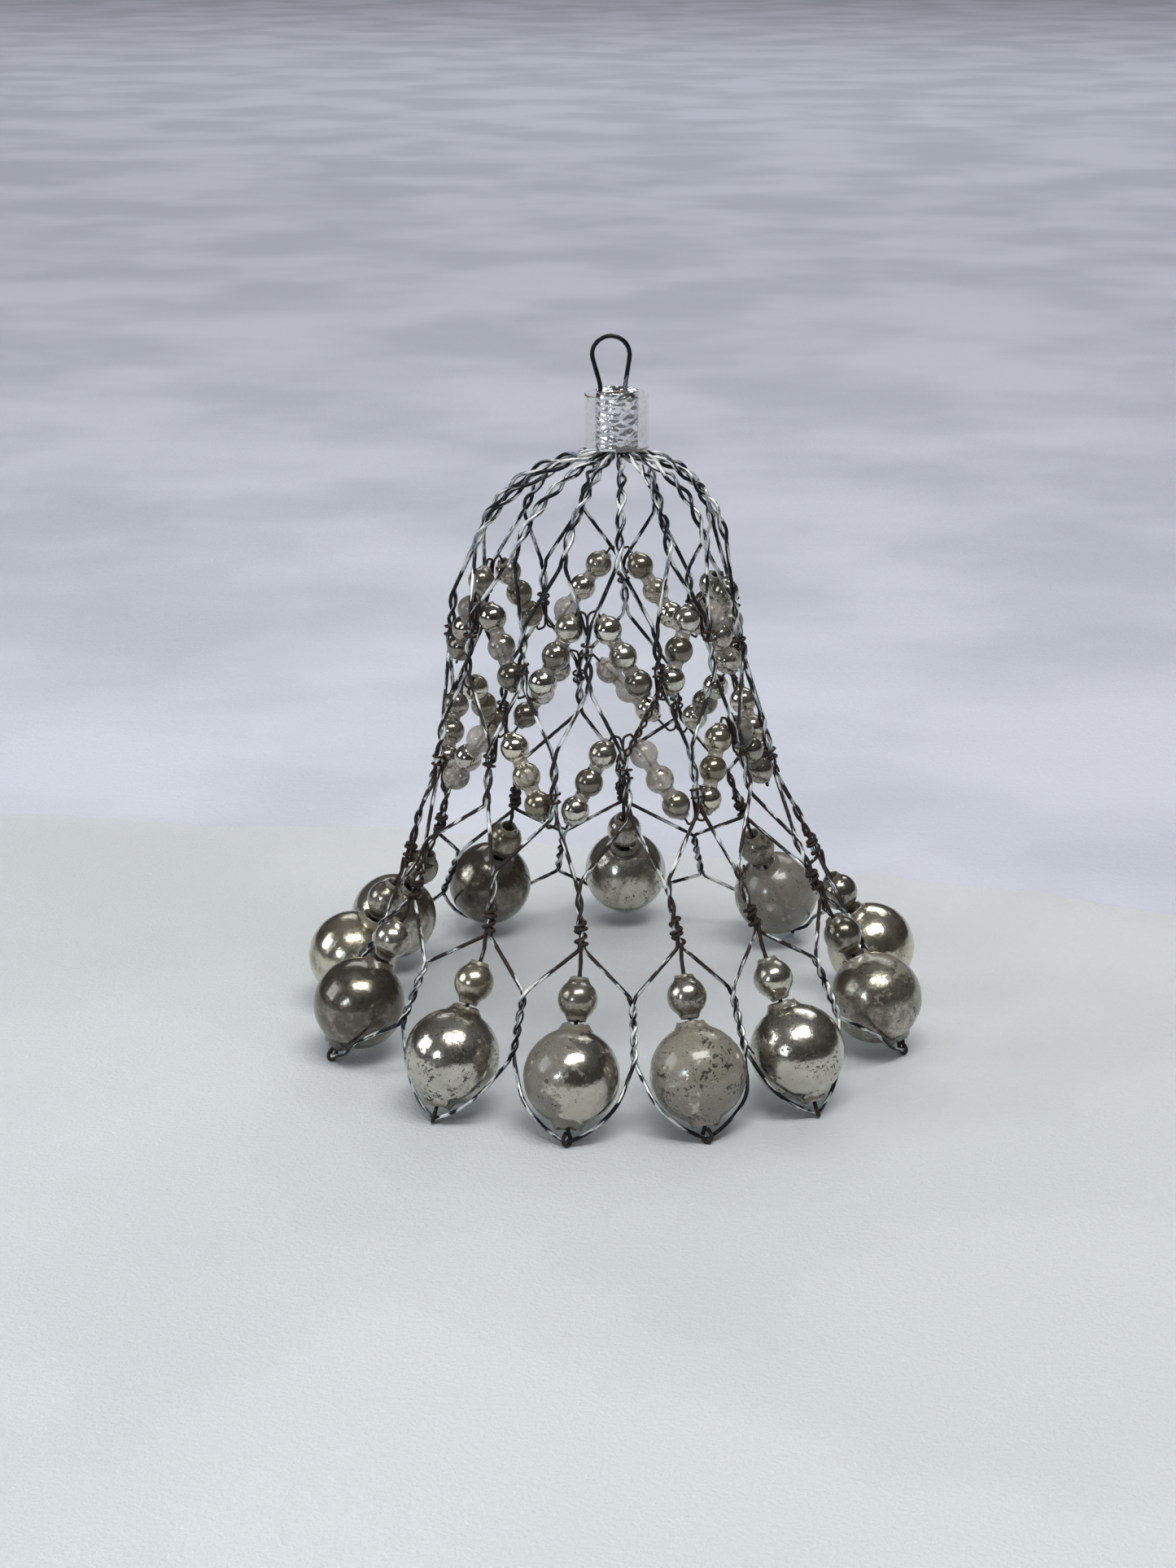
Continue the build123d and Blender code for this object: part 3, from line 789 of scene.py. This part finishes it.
for ring, legs in LEGS.items():
    strings = Pile()
    for leg in legs:
        tube(strings, leg.wire_points(), STRING, rust=0.7, sides=7, bend=0.25, step=0.25)
    if ring == "upper":
        doubled_tie(strings)
    node = f"{ring}_strand_wires"
    strings.piece(f"{ring}_strand_wire_set", SLOTS["binding_wire"], "root", (node,))

# ---- glass ------------------------------------------------------------------------------------

# bare patches, their side in degrees and how one-sided they are, specks, painted shade at the top, dark
# overall
LARGE_WEAR_AND_SHADE = (
    (0.05, 190, 0.30, 0.35, 0.1, 0.0),
    (0.16, 90, 0.05, 0.75, 0.2, 0.1),
    (-0.15, 60, 0.05, 0.65, 0.1, -0.15),
    (0.05, 30, 0.12, 0.6, 0.4, 0.5),
    (-0.1, 0, 0.05, 0.3, 0.1, 0.1),
    (0.1, 200, 0.1, 0.3, 0.1, 0.0),
    (-0.05, 120, 0.1, 0.6, 0.3, 0.1),
    (0.0, 250, 0.1, 0.5, 0.4, 0.5),
    (-0.15, 300, 0.05, 0.3, 0.3, 0.35),
    (-0.1, 10, 0.1, 0.35, 0.4, 0.15),
    (-0.1, 130, 0.1, 0.15, 0.3, 0.6),
    (-0.12, 180, 0.05, 0.85, 0.8, 0.0),
)


def large_wear(k):
    base, towards, much, specks, top, dark = LARGE_WEAR_AND_SHADE[k]

    def wear(z, a):
        bare = base + much * np.cos(a - radians(towards))
        # towards both open ends the silvering is worn bare and darkened with painted shade
        rim = np.clip((np.abs(z) - 0.86 * LARGE_RADIUS) / 1.2, 0, 1)
        # painted shade: the bead is darker towards its top, by the top column's share
        crown = np.clip(-z / LARGE_RADIUS - 0.55, 0, 1) * 2.2 * top
        return bare + 0.5 * rim, specks + 0 * z, dark + crown + 0.5 * rim

    return wear


def small_wear(k):
    def wear(z, a):
        # towards both open ends the silvering is worn bare and darkened with painted shade
        rim = np.clip((np.abs(z) - 0.8 * SMALL_RADIUS) / 0.8, 0, 1)
        return 0.5 * rim - 0.02, 0.5 + 0.2 * sin(k * 1.7) + 0 * z, 0.35 + 0.25 * sin(k * 2.9) + 0.6 * rim

    return wear


def bump_wear(k):
    def wear(z, a):
        near = np.abs(np.abs(z) - BUMP_PITCH / 2)
        neck = np.clip(1 - near / 0.75, 0, 1)
        # towards the strand's two open ends the silvering is worn bare and darkened with painted shade
        end = np.clip((np.abs(z) - BUMP_PITCH - 0.85 * BUMP_RADIUS) / 0.4, 0, 1)
        which = np.round(z / BUMP_PITCH)
        dark = 0.38 + 0.4 * np.sin(which * 2.3 + k * 1.9) + 0.6 * end
        bare = 0.02 + 0.2 * np.sin(which * 4.1 + k * 2.7) + 0.7 * neck + 0.3 * end
        return bare, 0.3 + 0 * z, dark

    return wear


TORN = ((2, 0.5), (3, 0.9), (4, 1.0), (5, 1.0), (6, 0.6), (7, 0.3))  # rings at an open end, and their share


def ragged_ends(depth):
    return [(n, depth * share) for n, share in TORN] + [(-n - 1, depth * share) for n, share in TORN]


RAGGED_LARGE, RAGGED_SMALL = ragged_ends(0.6), ragged_ends(0.2)
large_profile = ball_profile(LARGE_RADIUS, LARGE_COLLAR, rings=44)
small_profile = ball_profile(SMALL_RADIUS, SMALL_COLLAR, rings=26)
bumps = (-BUMP_PITCH, 0, BUMP_PITCH)
bump_profile = ball_profile(BUMP_RADIUS, BUMP_COLLAR, bumps, rings=16, neck=BUMP_NECK)
for k, drop in enumerate(DROPS):
    axes = (drop.along, drop.side, drop.out)
    for size, middle, profile, sides, wear, ragged in (
        ("large", drop.large, large_profile, 72, large_wear(k), RAGGED_LARGE),
        ("small", drop.small, small_profile, 44, small_wear(k), RAGGED_SMALL),
    ):
        node = f"{size}_bead_{k + 1:02}"
        pile = Pile()
        lathe(pile, (middle, *axes), profile, sides, k * 7 + len(size), wear, ragged)
        pile.piece(f"{node}_glass", DROP_GLASS[NODE_SLOT[node]], node, (node,))
for ring, legs in LEGS.items():
    first_seed = 60 if ring == "upper" else 140
    for k, leg in enumerate(legs):
        node = f"{ring}_strand_{k + 1:02}"
        side = across(leg.high.counter, leg.down)
        place = (leg.middle, leg.down, side, np.cross(leg.down, side))
        pile = Pile()
        lathe(pile, place, bump_profile, 32, k * 5 + first_seed, bump_wear(k), RAGGED_SMALL, 0.02)
        pile.piece(f"{node}_glass", STRAND_GLASS[NODE_SLOT[node]], node, (node,))

# ---- crown ------------------------------------------------------------------------------------

frame["nodes"]["crown_core"].data.materials.clear()
frame["nodes"]["crown_core"].data.materials.append(SLOTS["crown_core"])

CREASES = 170
FOIL_SIDES, FOIL_RINGS = 150, 64
FOIL_WALL = 0.8  # share of the foil's outline that is its wall; the rest is folded over the core's top
SMOOTH_SIDE = 222  # direction of the foil's smoother, brighter part
SLEEVE_SIDES, SLEEVE_RINGS = 120, 24
SLEEVE_LIFT = 0.3
FILM = 0.16
SEAM_WIDTH, SEAM_DEPTH = 0.09, 1.35
BROWN_TOP, BROWN_FOOT = 205, -35  # directions of the band's brown corners


def crumpled_foil(pile):
    """Facets round the core, folded over its top."""
    outer = CORE_RADIUS + 0.02 + FOIL
    a = 2 * pi * np.arange(FOIL_SIDES) / FOIL_SIDES
    creases = rng.uniform((0, 0), (2 * pi * outer, CROWN_HEIGHT), (CREASES, 2))
    tilts = rng.uniform(-1, 1, (CREASES, 3))
    smooth = np.clip(2.2 * np.cos(creases[:, 0] / outer - radians(SMOOTH_SIDE)) - 1.1, 0, 1)
    tilts *= np.stack([0.16 - 0.1 * smooth, 0.5 - 0.42 * smooth, 0.1 - 0.05 * smooth], 1)
    tilts[:, 1] -= 0.22 + 0.14 * smooth
    rows = []
    for level in np.linspace(0, 1, FOIL_RINGS):
        wall = min(level / FOIL_WALL, 1)
        fold = max(level - FOIL_WALL, 0) / (1 - FOIL_WALL)
        height = wall * (CROWN_HEIGHT + FOIL)
        around = np.stack([a * outer, np.full(FOIL_SIDES, height)], 1)
        apart = around[:, None] - creases[None]
        apart[..., 0] = (apart[..., 0] + pi * outer) % (2 * pi * outer) - pi * outer
        nearest = (apart[..., 0] ** 2 * 0.3 + apart[..., 1] ** 2).argmin(1)
        d = apart[np.arange(FOIL_SIDES), nearest]
        tilt = tilts[nearest]
        dent = np.clip(tilt[:, 0] * d[:, 0] + tilt[:, 1] * d[:, 1] + tilt[:, 2] - 0.1, -0.3, 0.0)
        radius = (outer + dent) * (1 - 0.78 * fold)
        down = -0.3 * np.sin(5 * a + 1) * (1 - wall) * 0.5 + 0.25 * np.clip(dent * 3, -1, 0) * fold
        z = CROWN_FOOT + height + down - (0.12 * np.sin(7 * a) ** 2 + 0.05) * (fold > 0)
        rows.append(np.stack([radius * np.cos(a), radius * np.sin(a), z], 1))
    points = np.vstack(rows)
    pile.add(points, grid_faces(FOIL_RINGS, FOIL_SIDES), points.copy(), np.zeros_like(points))


def band_skin(inset):
    """One face of a stiff band with flats and a pressed seam at the back, and how brown each point is."""
    a = 2 * pi * np.arange(SLEEVE_SIDES) / SLEEVE_SIDES
    seam = np.exp(-(((a - pi / 2) / SEAM_WIDTH) ** 2))
    rows = []
    for level in np.linspace(0, 1, SLEEVE_RINGS):
        flats = 0.16 * (1 + np.sin(5 * a + 0.6)) / 2 + 0.05 * (1 + np.sin(9 * a + 4 * level)) / 2
        radius = SLEEVE_RADIUS - flats - inset - seam * SEAM_DEPTH
        ripple = 0.1 * np.sin(3 * a + 1) * (0.5 - abs(level - 0.5))
        z = CROWN_FOOT + SLEEVE_LIFT + SLEEVE_HEIGHT * level + ripple
        edge = np.clip((abs(level - 0.5) - 0.36) / 0.14, 0, 1)
        brown = radians(BROWN_TOP if level > 0.5 else BROWN_FOOT)
        corner = 2.2 * np.cos(a - brown) - 1.35
        points = np.stack([radius * np.cos(a), radius * np.sin(a), z], 1)
        rows.append((points, edge * np.clip(corner, 0, 1)))
    return rows


def clear_band(pile):
    """The band's outer and inner faces, joined into one closed skin."""
    outer_rows, inner_rows = band_skin(0.0), band_skin(FILM)
    rows = outer_rows + inner_rows[::-1] + outer_rows[:1]
    points = np.vstack([row[0] for row in rows])
    edges = np.concatenate([row[1] for row in rows])
    pile.add(points, grid_faces(len(rows), SLEEVE_SIDES), points.copy(), np.stack([edges] * 3, 1))


def wire_loop(pile):
    """A round-topped loop whose two legs stand in the core."""
    top_radius = (LOOP_WIDTH - LOOP_WIRE) / 2
    arch = LOOP_TOP - LOOP_WIRE / 2 - top_radius
    crown_top = CROWN_FOOT + CROWN_HEIGHT
    turns = np.linspace(0, pi, 25)
    across_it = LOOP_SHIFT * 1.5 + top_radius * np.cos(turns)
    bow = np.stack([across_it, 0 * turns, arch + top_radius * np.sin(turns)], 1)
    legs = [np.array([LOOP_SHIFT + way * LOOP_LEGS / 2, 0, 0]) for way in (1, -1)]
    rise = [np.array([0, 0, crown_top - LOOP_DEPTH + 0.3]), np.array([0, 0, crown_top + 1])]
    line = [legs[0] + rise[0], legs[0] + rise[1], *bow, legs[1] + rise[1], legs[1] + rise[0]]
    tube(pile, np.array(line), LOOP_WIRE, rust=0.1, sides=12, rough=0.03, bend=0.7)


foil = Pile()
crumpled_foil(foil)
foil.piece("crumpled_foil", SLOTS["foil"], "root", ("foil_wrap",))

sleeve = Pile()
clear_band(sleeve)
sleeve.piece("clear_band", SLOTS["clear_film"], "root", ("clear_sleeve",))

loop = Pile()
wire_loop(loop)
loop.piece("loop_of_wire", SLOTS["loop_wire"], "root", ("hanging_loop",))

# ---- stage ------------------------------------------------------------------------------------


def sheet(name, outline, height, material):
    mesh = bpy.data.meshes.new(name)
    mesh.from_pydata([(x, y, height) for x, y in outline], [], [list(range(len(outline)))])
    mesh.materials.append(material)
    obj = bpy.data.objects.new(name, mesh)
    bpy.context.scene.collection.objects.link(obj)


GROUND_RADIUS, GROUND_HEIGHT = 6, -0.0012
FELT_SIDE, FELT_FRONT = 0.7, -1.2
FELT_EDGE_X = (-0.3, -0.12, -0.03, 0.0, 0.05, 0.12, 0.3)
FELT_EDGE_Y = (0.125, 0.11, 0.1, 0.09, 0.077, 0.05, 0.02)
GROUND_COLOURS = (0.56, 0.58, 0.64), (0.46, 0.48, 0.53)
FELT_COLOURS = (0.575, 0.6, 0.61), (0.525, 0.55, 0.56)

turns = [2 * pi * i / 64 for i in range(64)]
far = [(GROUND_RADIUS * cos(turn), GROUND_RADIUS * sin(turn)) for turn in turns]
sheet("ground", far, GROUND_HEIGHT, cloth_material("ground_cloth", *GROUND_COLOURS, 700.0, 0.0006))
back = []
for x in np.linspace(FELT_SIDE, -FELT_SIDE, 141):
    fall = np.interp(x, FELT_EDGE_X, FELT_EDGE_Y)
    back.append((x, fall + 0.0015 * sin(x * 90) + 0.001 * sin(x * 230)))
felt = [(-FELT_SIDE, FELT_FRONT), (FELT_SIDE, FELT_FRONT)] + back
sheet("felt", felt, 0.0, cloth_material("felt_cloth", *FELT_COLOURS, 1300.0, 0.0009))


def studio_world():
    """A plain grey room that glossy surfaces see as darker below and lighter above."""
    world = bpy.data.worlds.new("studio")
    bpy.context.scene.world = world
    world.use_nodes = True
    nodes, links = world.node_tree.nodes, world.node_tree.links
    nodes.clear()
    ray = nodes.new("ShaderNodeLightPath")
    where = nodes.new("ShaderNodeTexCoord")
    split = nodes.new("ShaderNodeSeparateXYZ")
    ramp = nodes.new("ShaderNodeValToRGB")
    plain = nodes.new("ShaderNodeBackground")
    room = nodes.new("ShaderNodeBackground")
    choose = nodes.new("ShaderNodeMixShader")
    result = nodes.new("ShaderNodeOutputWorld")
    links.new(where.outputs["Generated"], split.inputs[0])
    links.new(split.outputs[2], ramp.inputs[0])
    steps = ramp.color_ramp.elements
    steps[0].position, steps[0].color = 0.05, (0.035, 0.032, 0.03, 1)
    steps[1].position, steps[1].color = 0.95, (0.16, 0.16, 0.17, 1)
    steps.new(0.5).color = (0.06, 0.058, 0.056, 1)
    links.new(ramp.outputs[0], room.inputs[0])
    plain.inputs[0].default_value = (0.34, 0.34, 0.36, 1)
    links.new(ray.outputs["Is Glossy Ray"], choose.inputs[0])
    links.new(plain.outputs[0], choose.inputs[1])
    links.new(room.outputs[0], choose.inputs[2])
    links.new(choose.outputs[0], result.inputs[0])


studio_world()


def soft_light(name, place, target, size, power, colour):
    data = bpy.data.lights.new(name, "AREA")
    data.shape = "RECTANGLE"
    data.size, data.size_y = size
    data.energy = power
    data.color = colour
    light = bpy.data.objects.new(name, data)
    light.location = place
    light.rotation_mode = "QUATERNION"
    light.rotation_quaternion = (Vector(target) - Vector(place)).to_track_quat("-Z", "Y")
    bpy.context.scene.collection.objects.link(light)


centre = (0, 0, 0.05)
soft_light("window", (0.12, -0.45, 1.1), centre, (0.8, 0.34), 11, (1.0, 0.99, 0.97))
soft_light("low_window", (-0.41, -0.58, 0.27), centre, (0.1, 0.12), 0.9, (0.78, 0.88, 1.0))
soft_light("side_window", (-0.95, -0.1, 0.5), centre, (0.5, 0.5), 3.0, (0.92, 0.96, 1.0))
soft_light("far_window", (0.2, 2.3, 2.0), (0, 1.9, 0), (2.6, 1.2), 26, (0.95, 0.97, 1.0))

SENSOR, LENS = 36, 61.65
CAMERA_PLACE = (-4.95, -458.2, 202.1)
CAMERA_TILT = 18.84  # degrees down from level

camera_data = bpy.data.cameras.new("camera")
camera_data.sensor_width = SENSOR
camera_data.lens = LENS
camera_data.clip_start = 0.01
camera = bpy.data.objects.new("camera", camera_data)
camera.location = to_frame(CAMERA_PLACE)
camera.rotation_euler = (radians(90 - CAMERA_TILT), 0, 0)
bpy.context.scene.collection.objects.link(camera)
bpy.context.scene.camera = camera
bpy.context.scene.view_settings.view_transform = "Standard"
